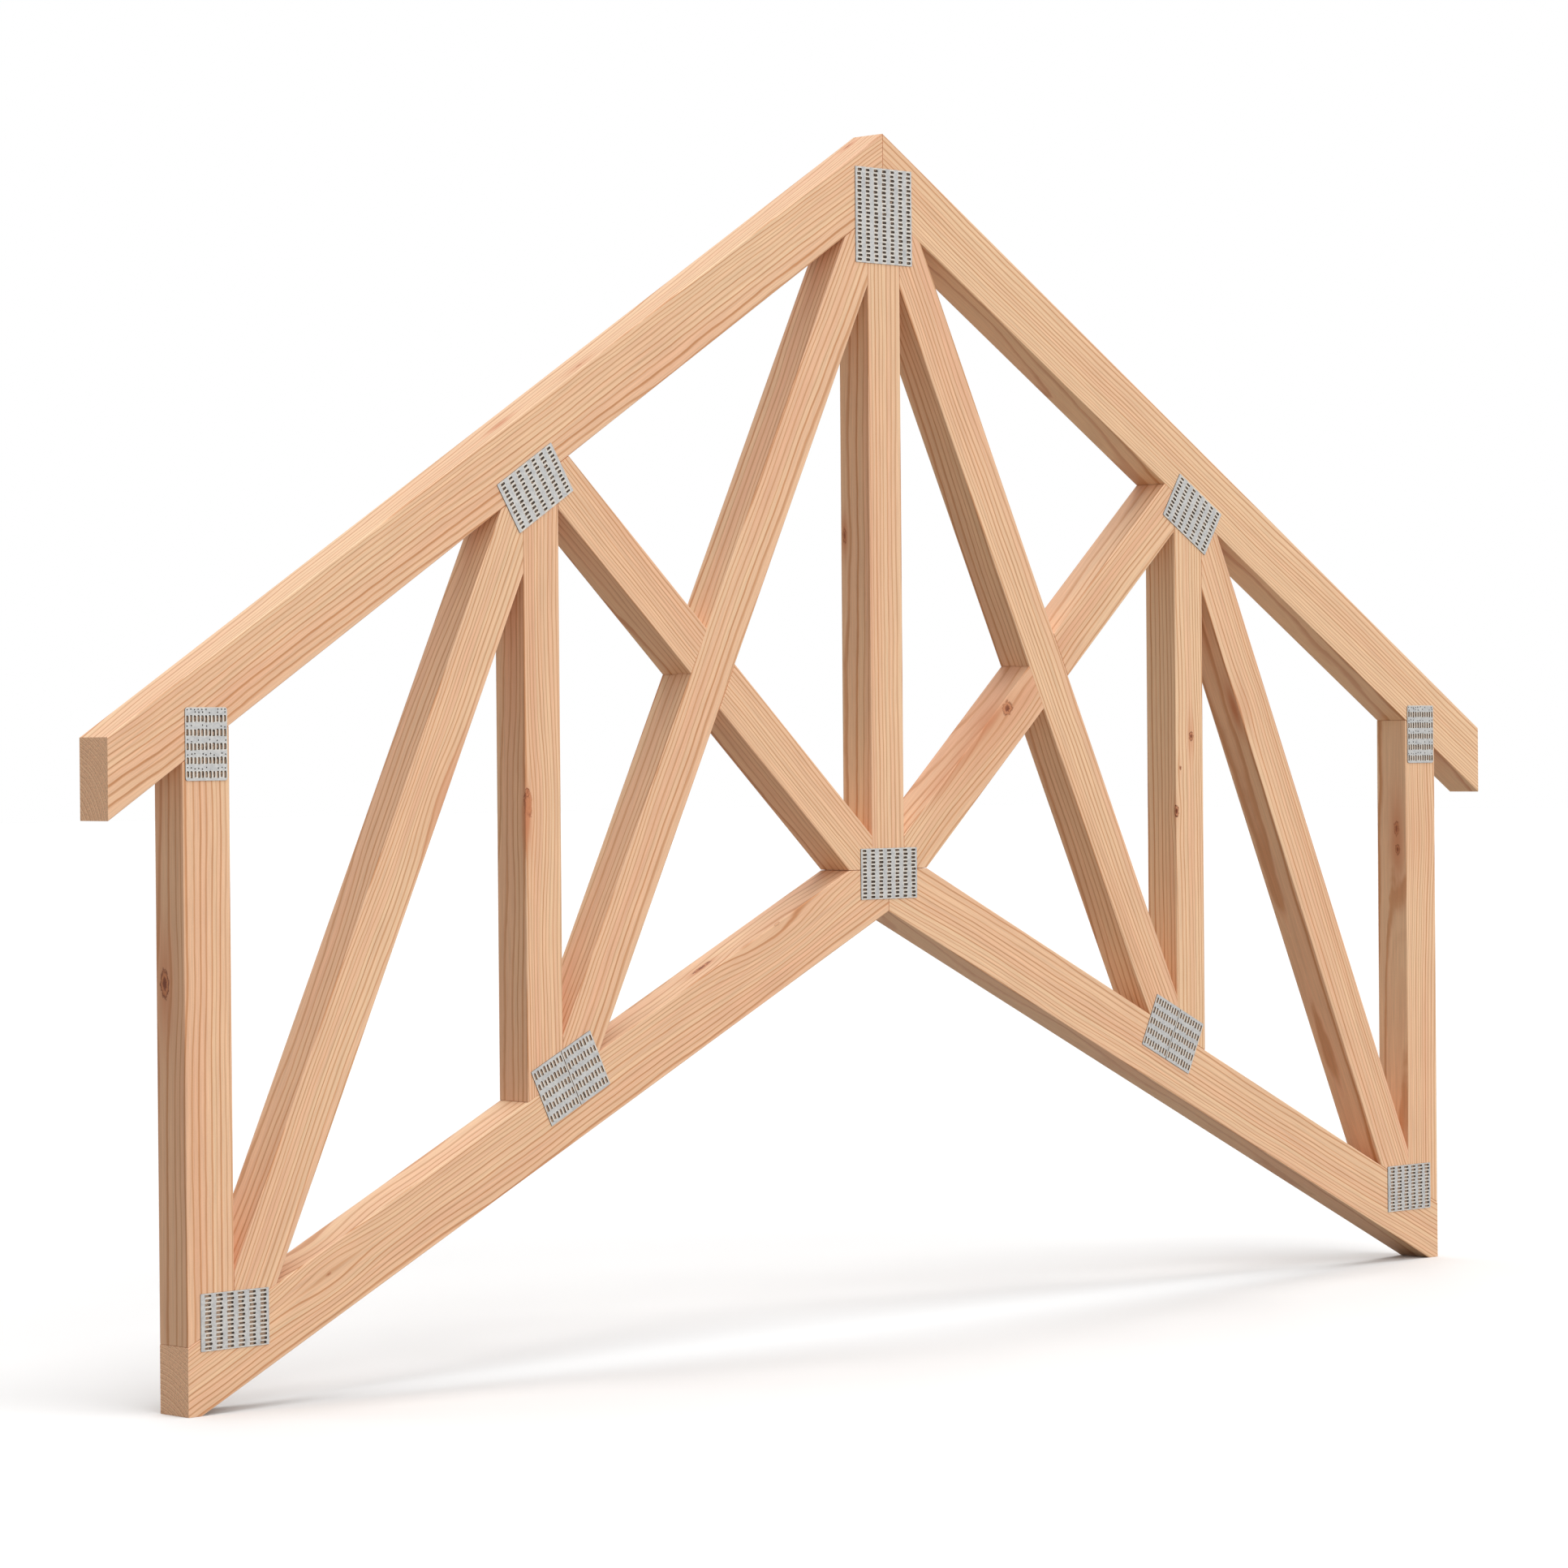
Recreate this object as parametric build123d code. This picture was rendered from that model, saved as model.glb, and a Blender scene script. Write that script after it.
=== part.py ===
from build123d import *

import os
from math import cos, hypot, radians, tan

# Scissor roof truss of sawn softwood, joined by punched nail plates on both faces.
# X runs along the span, Y through the thickness with the front face at -Y, and Z is up.
# The origin is on the floor, at mid-span and mid-thickness. All sizes are millimetres and degrees.

# Overall shape
half_span = 1280.0
roof_overhang = 117.0
peak_height = 1743.0
roof_pitch = 32.0
ceiling_pitch = 25.8
foot_length = 22.0

# Timber sections
timber_thickness = 60.0
top_chord_depth = 90.0
bottom_chord_depth = 90.0
end_post_width = 75.0
quarter_post_width = 64.0
king_post_width = 66.0
outer_diagonal_width = 71.0
long_diagonal_width = 70.0
short_diagonal_width = 68.0

# Places of the webs, as distances from the centre line or along the face that each web meets
quarter_post_offset = 669.0
centre_seat_half = 80.0
outer_diagonal_head = 110.0
outer_diagonal_toe = 69.0
long_diagonal_head = 96.0
long_diagonal_toe = 67.0
short_diagonal_head = 61.0

# Nail plate stock: sheet thickness, and the punched slots with their spacing along and across
plate_thickness = 1.2
slot_length = 8.0
slot_width = 3.0
slot_spacing_along = 16.3
slot_spacing_across = 7.0

# Nail plate sizes, along the slots and across them
peak_plate_length = 116.0
peak_plate_width = 139.0
centre_plate_length = 116.0
centre_plate_width = 74.0
quarter_plate_length = 115.0
quarter_plate_width = 76.0
eave_plate_length = 94.0
eave_plate_width = 67.0
heel_plate_length = 110.0
heel_plate_width = 74.0
twin_plate_length = 84.0
twin_plate_width = 60.0

# Nail plate places, from the corner where the timbers of the joint meet
peak_plate_drop = 15.0
centre_plate_drop = 6.0
quarter_plate_drop = 7.0
quarter_plate_out = 10.0
heel_plate_drop = 6.0
twin_plate_drop = 8.0
twin_plate_in = 13.0
twin_plate_gap = 0.5

# Distances from the centre line that the sizes above fix
eave_x = half_span + roof_overhang
end_post_inner = half_span - end_post_width
end_post_middle = half_span - end_post_width / 2
quarter_post_outer = quarter_post_offset + quarter_post_width / 2
quarter_post_inner = quarter_post_offset - quarter_post_width / 2
king_post_half = king_post_width / 2
half_thickness = timber_thickness / 2

# How far a web's blank runs past the space that it is cut to fit
overrun = 2 * timber_thickness


def roof_top(x):
    """Height of the top chord's upper face at the distance x from the centre line."""
    return peak_height - x * tan(radians(roof_pitch))


def roof_under(x):
    """Height of the top chord's lower face."""
    return roof_top(x) - top_chord_depth / cos(radians(roof_pitch))


def ceiling_under(x):
    """Height of the bottom chord's lower face, which meets the floor at the foot cut."""
    return (half_span - foot_length - x) * tan(radians(ceiling_pitch))


def ceiling_top(x):
    """Height of the bottom chord's upper face."""
    return ceiling_under(x) + bottom_chord_depth / cos(radians(ceiling_pitch))


centre_seat = ceiling_top(centre_seat_half)


def outline(*corners):
    """A flat outline in the plane of the truss, from (x, z) corners."""
    return make_face(Polyline(*corners, close=True))


def sawn(face):
    """A timber of full thickness from its outline."""
    return extrude(Plane.XZ * face, amount=half_thickness, both=True)


def strip(start, end, width):
    """The blank of a straight web whose lower edge runs through two points."""
    run, rise = end[0] - start[0], end[1] - start[1]
    length = hypot(run, rise)
    along = (run / length, rise / length)
    up = (-along[1], along[0]) if run > 0 else (along[1], -along[0])
    first = (start[0] - overrun * along[0], start[1] - overrun * along[1])
    last = (end[0] + overrun * along[0], end[1] + overrun * along[1])
    return outline(
        first,
        last,
        (last[0] + width * up[0], last[1] + width * up[1]),
        (first[0] + width * up[0], first[1] + width * up[1]),
    )


def chords():
    """The right top chord and the right bottom chord, each with its plumb and level cuts."""
    top = outline(
        (0, roof_top(0)),
        (eave_x, roof_top(eave_x)),
        (eave_x, roof_under(eave_x)),
        (0, roof_under(0)),
    )
    bottom = outline(
        (0, ceiling_under(0)),
        (half_span - foot_length, 0),
        (half_span, 0),
        (half_span, ceiling_top(half_span)),
        (centre_seat_half, centre_seat),
        (0, centre_seat),
    )
    return sawn(top), sawn(bottom)


def side_post(inner, outer):
    """A post between the chords, with both ends cut to their slopes."""
    return sawn(outline(
        (inner, ceiling_top(inner)),
        (outer, ceiling_top(outer)),
        (outer, roof_under(outer)),
        (inner, roof_under(inner)),
    ))


def king_post():
    """The middle post, which stands on the centre seat with its head in the peak's notch."""
    return sawn(outline(
        (-king_post_half, centre_seat),
        (king_post_half, centre_seat),
        (king_post_half, roof_under(king_post_half)),
        (0, roof_under(0)),
        (-king_post_half, roof_under(king_post_half)),
    ))


def outer_diagonal():
    """The web from the heel to the head of the quarter post."""
    bay = outline(
        (quarter_post_outer, ceiling_top(quarter_post_outer)),
        (end_post_inner, ceiling_top(end_post_inner)),
        (end_post_inner, roof_under(end_post_inner)),
        (quarter_post_outer, roof_under(quarter_post_outer)),
    )
    toe_x = end_post_inner - outer_diagonal_toe
    head = (quarter_post_outer, roof_under(quarter_post_outer) - outer_diagonal_head)
    return sawn(bay & strip(head, (toe_x, ceiling_top(toe_x)), outer_diagonal_width))


def crossed_diagonals():
    """The long and the short diagonal, halved over each other where they cross."""
    bay = outline(
        (king_post_half, centre_seat),
        (centre_seat_half, centre_seat),
        (quarter_post_inner, ceiling_top(quarter_post_inner)),
        (quarter_post_inner, roof_under(quarter_post_inner)),
        (king_post_half, roof_under(king_post_half)),
    )
    toe_x = quarter_post_inner - long_diagonal_toe
    long_head = (king_post_half, roof_under(king_post_half) - long_diagonal_head)
    long_face = bay & strip(long_head, (toe_x, ceiling_top(toe_x)), long_diagonal_width)
    short_head = (quarter_post_inner, roof_under(quarter_post_inner) - short_diagonal_head)
    short_face = bay & strip((centre_seat_half, centre_seat), short_head, short_diagonal_width)
    crossing = Plane.XZ * (long_face & short_face)
    long_web = sawn(long_face) - extrude(crossing, amount=-half_thickness)
    short_web = sawn(short_face) - extrude(crossing, amount=half_thickness)
    return long_web, short_web


def nail_plate(length, width, slotted):
    """A galvanised plate lying flat, with whole rows of slots along its length."""
    blank = Rectangle(length, width)
    if slotted:
        columns = int(length // slot_spacing_along)
        rows = int(width // slot_spacing_across)
        grid = GridLocations(slot_spacing_along, slot_spacing_across, columns, rows)
        blank -= grid * Rectangle(slot_length, slot_width)
    return extrude(blank, amount=plate_thickness)


def pressed_on(length, width, x, z, slot_angle):
    """The front and the back plate of one joint, centred at x and z on the timber faces."""
    turn = Rotation(0, 0, slot_angle)
    front = Plane(origin=(x, -half_thickness, z), x_dir=(1, 0, 0), z_dir=(0, -1, 0))
    back = Plane(origin=(x, half_thickness + plate_thickness, z), x_dir=(1, 0, 0), z_dir=(0, -1, 0))
    return {
        "front": front * turn * nail_plate(length, width, slotted=True),
        "back": back * turn * nail_plate(length, width, slotted=False),
    }


def middle_plates():
    """The plates on the centre line, by name."""
    return {
        "peak_plate": pressed_on(
            peak_plate_length, peak_plate_width, 0, roof_under(0) - peak_plate_drop, 0),
        "centre_plate": pressed_on(
            centre_plate_length, centre_plate_width, 0, centre_seat - centre_plate_drop, 0),
    }


def side_plates():
    """The plates of the right half, by name. Two plates lie side by side under the quarter post."""
    quarter_x = quarter_post_offset + quarter_plate_out
    seam_x = quarter_post_inner - twin_plate_in
    seam_z = ceiling_top(seam_x) - twin_plate_drop
    twin_step = (twin_plate_width + twin_plate_gap) / 2
    twin_run = twin_step * cos(radians(ceiling_pitch))
    twin_fall = twin_run * tan(radians(ceiling_pitch))
    across_ceiling = 90 - ceiling_pitch
    return {
        "quarter_plate": pressed_on(
            quarter_plate_length, quarter_plate_width,
            quarter_x, roof_under(quarter_x) - quarter_plate_drop, -roof_pitch),
        "eave_plate": pressed_on(
            eave_plate_length, eave_plate_width,
            end_post_middle, roof_under(end_post_middle), 90),
        "heel_plate": pressed_on(
            heel_plate_length, heel_plate_width,
            end_post_inner, ceiling_top(end_post_inner) - heel_plate_drop, 0),
        "inner_twin_plate": pressed_on(
            twin_plate_length, twin_plate_width,
            seam_x - twin_run, seam_z + twin_fall, across_ceiling),
        "outer_twin_plate": pressed_on(
            twin_plate_length, twin_plate_width,
            seam_x + twin_run, seam_z - twin_fall, across_ceiling),
    }


def all_pieces():
    """Every piece of the truss by name, with the left half mirrored from the right."""
    top_chord, bottom_chord = chords()
    long_diagonal, short_diagonal = crossed_diagonals()
    right_half = {
        "top_chord": top_chord,
        "bottom_chord": bottom_chord,
        "end_post": side_post(end_post_inner, half_span),
        "quarter_post": side_post(quarter_post_inner, quarter_post_outer),
        "outer_diagonal": outer_diagonal(),
        "long_diagonal": long_diagonal,
        "short_diagonal": short_diagonal,
    }
    pieces = {"king_post": king_post()}
    for name, solid in right_half.items():
        pieces[f"{name}_right"] = solid
        pieces[f"{name}_left"] = mirror(solid, about=Plane.YZ)
    for name, pair in middle_plates().items():
        for face, plate in pair.items():
            pieces[f"{name}_{face}"] = plate
    for name, pair in side_plates().items():
        for face, plate in pair.items():
            pieces[f"{name}_right_{face}"] = plate
            pieces[f"{name}_left_{face}"] = mirror(plate, about=Plane.YZ)
    return pieces


os.makedirs("parts", exist_ok=True)
for name, solid in all_pieces().items():
    export_step(solid, f"parts/{name}.step")
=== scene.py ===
"""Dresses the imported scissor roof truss: sawn softwood timbers and punched galvanised nail plates.

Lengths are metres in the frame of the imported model: X along the span, Y through the thickness
with the front face at -Y, and Z up. Angles are degrees, apart from those said to be radians.
"""

import logging
from dataclasses import asdict, dataclass, fields
from enum import Enum
from math import copysign, cos, pi, radians, sin

import bmesh
import bpy
from mathutils import Matrix, Vector


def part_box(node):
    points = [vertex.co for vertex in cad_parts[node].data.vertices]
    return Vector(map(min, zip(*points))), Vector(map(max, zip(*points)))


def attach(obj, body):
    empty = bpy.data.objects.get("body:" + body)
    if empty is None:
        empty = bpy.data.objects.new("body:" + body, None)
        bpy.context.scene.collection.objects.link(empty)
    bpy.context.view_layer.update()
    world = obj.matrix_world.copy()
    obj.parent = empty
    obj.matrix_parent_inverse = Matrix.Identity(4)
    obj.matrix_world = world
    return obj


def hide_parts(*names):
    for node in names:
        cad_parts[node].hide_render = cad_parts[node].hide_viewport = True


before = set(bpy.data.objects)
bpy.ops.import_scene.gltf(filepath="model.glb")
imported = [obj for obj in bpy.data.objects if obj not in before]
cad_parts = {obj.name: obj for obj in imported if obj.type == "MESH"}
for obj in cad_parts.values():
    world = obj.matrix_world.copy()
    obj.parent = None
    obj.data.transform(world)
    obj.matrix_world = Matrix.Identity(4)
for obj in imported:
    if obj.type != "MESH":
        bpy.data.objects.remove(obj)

LOG = logging.getLogger("truss")
BODY = "root"
MILLIMETRE = 0.001
END_GRAIN = "end_grain"
SLOT_CELL = "slot_cell"
FINISH_NUMBER = "part"
# The third finish is painted shade in the slots and small holes; the fourth is the sheared edge, darker as
# painted shade.
FINISHES = ("Sheet", "Torn wood", "Pocket", "Edge")
ROOF_PITCH = 32.0
CEILING_PITCH = 25.8
NUMBER, WHOLE, VECTOR = "NodeSocketFloat", "NodeSocketInt", "NodeSocketVector"
COLOUR, MATERIAL, GEOMETRY = "NodeSocketColor", "NodeSocketMaterial", "NodeSocketGeometry"
Triple = tuple[float, float, float]
Colour = tuple[float, ...]


def srgb(red: int, green: int, blue: int) -> Colour:
    """Turn a screen colour into the linear colour that a shader takes.

    Args:
        red: Red from 0 to 255.
        green: Green from 0 to 255.
        blue: Blue from 0 to 255.

    Returns:
        The linear colour with an alpha of 1.
    """
    def linear(level: int) -> float:
        """One channel, by the sRGB curve."""
        share = level / 255
        return share / 12.92 if share <= 0.04045 else ((share + 0.055) / 1.055) ** 2.4

    return linear(red), linear(green), linear(blue), 1.0


class Flow:
    """What flows out of a node: a number, vector, colour or geometry. Arithmetic on it adds nodes."""

    def __init__(self, nodes: "Nodes", socket: bpy.types.NodeSocket) -> None:
        """Keep the tree's helper and the socket."""
        self.nodes = nodes
        self.socket = socket

    def __add__(self, other: object) -> "Flow":
        """Add a number or a vector."""
        return self.nodes.arithmetic("ADD", self, other)

    def __sub__(self, other: object) -> "Flow":
        """Take a number or a vector away."""
        return self.nodes.arithmetic("SUBTRACT", self, other)

    def __rsub__(self, other: object) -> "Flow":
        """Take this away from a number."""
        return self.nodes.arithmetic("SUBTRACT", other, self)

    def __mul__(self, other: object) -> "Flow":
        """Multiply by a number or, part by part, by a vector."""
        return self.nodes.arithmetic("MULTIPLY", self, other)

    def __truediv__(self, other: object) -> "Flow":
        """Divide a number by a number."""
        return self.nodes.arithmetic("DIVIDE", self, other)

    def math(self, operation: str, *others: object) -> "Flow":
        """Put a number through a Math node."""
        return self.nodes.operate("ShaderNodeMath", self, *others, operation=operation)

    def vector(self, operation: str, *others: object) -> "Flow":
        """Put a vector through a Vector Math node."""
        return self.nodes.operate("ShaderNodeVectorMath", self, *others, operation=operation)

    def smooth(self, low: float, high: float) -> "Flow":
        """Ease a number from 0 at low to 1 at high."""
        return self.nodes.flow("ShaderNodeMapRange", {"From Min": low, "From Max": high},
                               interpolation_type="SMOOTHSTEP", Value=self)

    def noise(self, scale: float, detail: float, output: str = "Fac") -> "Flow":
        """Add a Noise texture at these coordinates.

        Args:
            scale: Features for each unit of the coordinates.
            detail: How many finer layers it has.
            output: Fac for a number, or Color for three of them.

        Returns:
            The noise.
        """
        return self.nodes.flow("ShaderNodeTexNoise", output=output, Vector=self, Scale=scale, Detail=detail)

    def parts(self) -> list["Flow"]:
        """Split a vector or a colour into its three numbers."""
        return list(self.nodes.outputs(self.nodes.add("ShaderNodeSeparateXYZ", Vector=self)).values())

    def realized(self) -> "Flow":
        """Turn a geometry's instances into plain meshes or curves."""
        return self.nodes.flow("GeometryNodeRealizeInstances", Geometry=self)

    def moved(self, offset: object) -> "Flow":
        """Move a geometry's points."""
        return self.nodes.flow("GeometryNodeSetPosition", Geometry=self, Offset=offset)

    def placed(self, translation: object, **more: object) -> "Flow":
        """Move, turn or scale a geometry as a whole."""
        return self.nodes.flow("GeometryNodeTransform", Geometry=self, Translation=translation, **more)

    def without(self, selection: "Flow") -> "Flow":
        """Delete a part of a geometry."""
        return self.nodes.flow("GeometryNodeDeleteGeometry", Geometry=self, Selection=selection)

    def copied_to(self, points: "Flow", scale: "Flow") -> "Flow":
        """Put a scaled instance of a geometry on each point."""
        return self.nodes.flow("GeometryNodeInstanceOnPoints", Points=points, Instance=self, Scale=scale)

    def welded(self, distance: float) -> "Flow":
        """Merge a geometry's points that lie closer than a distance."""
        return self.nodes.flow("GeometryNodeMergeByDistance", Geometry=self, Distance=distance)

    def finished(self, number: object, **more: object) -> "Flow":
        """Store on a geometry's faces the place in FINISHES of the finish that they get."""
        return self.nodes.flow("GeometryNodeStoreNamedAttribute", data_type="INT", domain="FACE",
                               Geometry=self, Name=FINISH_NUMBER, Value=number, **more)


def is_vector(value: object) -> bool:
    """Tell a vector or a colour from a number."""
    flows = isinstance(value, Flow)
    return value.socket.type in ("VECTOR", "RGBA") if flows else isinstance(value, (tuple, Vector))


class Nodes:
    """Short calls that add nodes to one tree and link them."""

    def __init__(self, tree: bpy.types.NodeTree) -> None:
        """Keep the tree that the nodes go into."""
        self.tree = tree

    def feed(self, socket: bpy.types.NodeSocket, value: object) -> None:
        """Link a socket to what flows, or set its value.

        Args:
            socket: An input.
            value: What it gets.
        """
        if isinstance(value, Flow):
            self.tree.links.new(value.socket, socket)
        else:
            socket.default_value = value

    def add(self, kind: str, named: dict[str, object] | None = None, **values: object) -> bpy.types.Node:
        """Add a node, and set its properties and inputs by name.

        Args:
            kind: The node's type name.
            named: Inputs whose names aren't words of Python.
            **values: Properties in lower case, and inputs.

        Returns:
            The new node.
        """
        node = self.tree.nodes.new(kind)
        inputs = dict(named or {})
        for name, value in values.items():
            if name.islower():
                setattr(node, name, value)
            else:
                inputs[name] = value
        for name, value in inputs.items():
            self.feed(next(item for item in node.inputs if item.name == name and item.enabled), value)
        return node

    def flow(self, kind: str, named: dict[str, object] | None = None, output: str = "",
             **values: object) -> Flow:
        """Add a node as add does, and give its first visible output or the one of that name."""
        node = self.add(kind, named, **values)
        return Flow(self, next(item for item in node.outputs if item.enabled and output in ("", item.name)))

    def outputs(self, node: bpy.types.Node) -> dict[str, Flow]:
        """Give what flows out of a node, by name."""
        return {item.name: Flow(self, item) for item in node.outputs}

    def group(self, name: str, values: dict[str, object]) -> dict[str, Flow]:
        """Add a node of a shader group, feed its inputs by name, and give its outputs by name."""
        return self.outputs(self.add("ShaderNodeGroup", values, node_tree=bpy.data.node_groups[name]))

    def sources(self) -> dict[str, Flow]:
        """Give the tree's own inputs by name."""
        return self.outputs(self.add("NodeGroupInput"))

    def results(self, **values: object) -> None:
        """Feed the tree's own outputs by name."""
        self.add("NodeGroupOutput", **values)

    def shade(self, values: dict[str, object]) -> None:
        """Feed the material's Principled shader by input name."""
        for name, value in values.items():
            self.feed(self.tree.nodes["Principled BSDF"].inputs[name], value)

    def operate(self, kind: str, *values: object, **settings: object) -> Flow:
        """Add a node and feed its visible inputs in order.

        Args:
            kind: The node's type name.
            *values: What its visible inputs get.
            **settings: Its properties.

        Returns:
            Its first visible output.
        """
        node = self.add(kind, **settings)
        for socket, value in zip((item for item in node.inputs if item.enabled), values):
            self.feed(socket, value)
        return Flow(self, next(item for item in node.outputs if item.enabled))

    def arithmetic(self, operation: str, first: object, last: object) -> Flow:
        """Add the node of one sign, for two numbers, two vectors, or a vector and its scale.

        Args:
            operation: ADD, SUBTRACT, MULTIPLY or DIVIDE.
            first: What stands before the sign.
            last: What stands after it.

        Returns:
            The result.
        """
        if not is_vector(first) and not is_vector(last):
            return self.operate("ShaderNodeMath", first, last, operation=operation)
        if operation == "MULTIPLY" and not is_vector(last):
            operation = "SCALE"
        return self.operate("ShaderNodeVectorMath", first, last, operation=operation)

    def mix(self, share: object, first: object, second: object, blend: str = "MIX") -> Flow:
        """Mix two colours by the share of the second one."""
        return self.operate("ShaderNodeMix", share, first, second, data_type="RGBA", blend_type=blend)

    def position(self) -> list[Flow]:
        """Give each point's place as three numbers."""
        return self.flow("GeometryNodeInputPosition").parts()

    def finish_number(self) -> Flow:
        """Give the number that Flow.finished stored."""
        return self.flow("GeometryNodeInputNamedAttribute", data_type="INT", Name=FINISH_NUMBER)

    def combine(self, x: object, y: object, z: object) -> Flow:
        """Join three numbers into a vector."""
        return self.flow("ShaderNodeCombineXYZ", X=x, Y=y, Z=z)

    def shaded(self, colour: object, level: Flow) -> Flow:
        """Multiply a colour by a number."""
        return self.mix(1.0, colour, self.combine(level, level, level), "MULTIPLY")

    def join(self, *parts: Flow) -> Flow:
        """Join geometries.

        Args:
            *parts: The geometries, in the order that their faces get.

        Returns:
            All of them as one.
        """
        node = self.add("GeometryNodeJoinGeometry")
        for part in reversed(parts):
            self.feed(node.inputs[0], part)
        return Flow(self, node.outputs[0])


def new_group(name: str, kind: str, inputs: dict[str, tuple[str, ...]],
              outputs: dict[str, tuple[str, ...]]) -> Nodes:
    """Make a node group with named sockets.

    Args:
        name: The group's name.
        kind: The tree's type name.
        inputs: The inputs' names by socket type.
        outputs: The outputs' names by socket type.

    Returns:
        The helper of the empty group.
    """
    tree = bpy.data.node_groups.new(name, kind)
    for direction, sockets in (("INPUT", inputs), ("OUTPUT", outputs)):
        for socket_type, labels in sockets.items():
            for label in labels:
                tree.interface.new_socket(label, in_out=direction, socket_type=socket_type)
    return Nodes(tree)


def new_material(name: str) -> tuple[bpy.types.Material, Nodes]:
    """Make a material with a Principled shader.

    Args:
        name: The material's name.

    Returns:
        The material and its tree's helper.
    """
    material = bpy.data.materials.new(name)
    material.use_nodes = True
    return material, Nodes(material.node_tree)


class Branch(Enum):
    """The way that the branch behind a knot runs: how fast the knot thins along, through and across."""

    THROUGH = (1.0, 0.35, 1.0)
    ACROSS = (1.0, 1.0, 0.35)
    ROUND = (1.0, 1.0, 1.0)


@dataclass(frozen=True)
class Knot:
    """A knot, or a streak without a core, on a timber.

    Args:
        at: Its middle on the timber's face, in the frame of the model.
        radius: Half its width.
        reach: How far the grain parts around it.
        branch: Which way its branch runs.
        pull: How strongly the grain parts, from 0 to 1.
        core: How dark its middle is, from 0 to 1.
        rim: How dark the bark around it is, from 0 to 1.
        halo: How red the wood around it is, from 0 to 1.
        long: Its length over its width.
        side: The side that keeps its bark, along, through and across the timber, or no side for all.
    """

    at: Triple
    radius: float
    reach: float
    branch: Branch
    pull: float
    core: float
    rim: float
    halo: float
    long: float = 1.8
    side: Triple = (0.0, 0.0, 0.0)


@dataclass(frozen=True)
class Grain:
    """How the log's rings lie in one timber.

    Args:
        pith: The pith's distance from the timber's middle, through its thickness and its depth.
        slope: How far the pith drifts for each metre of length, in the same two directions.
        ring: The width of a ring a tenth of a metre from the pith.
        seed: Picks the timber's own noise.
        tone: From 0, pale and yellow, to 1, warm and pink.
        knots: The timber's knots.
        wave: How strongly its lines wave.
    """

    pith: tuple[float, float]
    slope: tuple[float, float]
    ring: float
    seed: float
    tone: float
    knots: tuple[Knot, ...] = ()
    wave: float = 1.0


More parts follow.
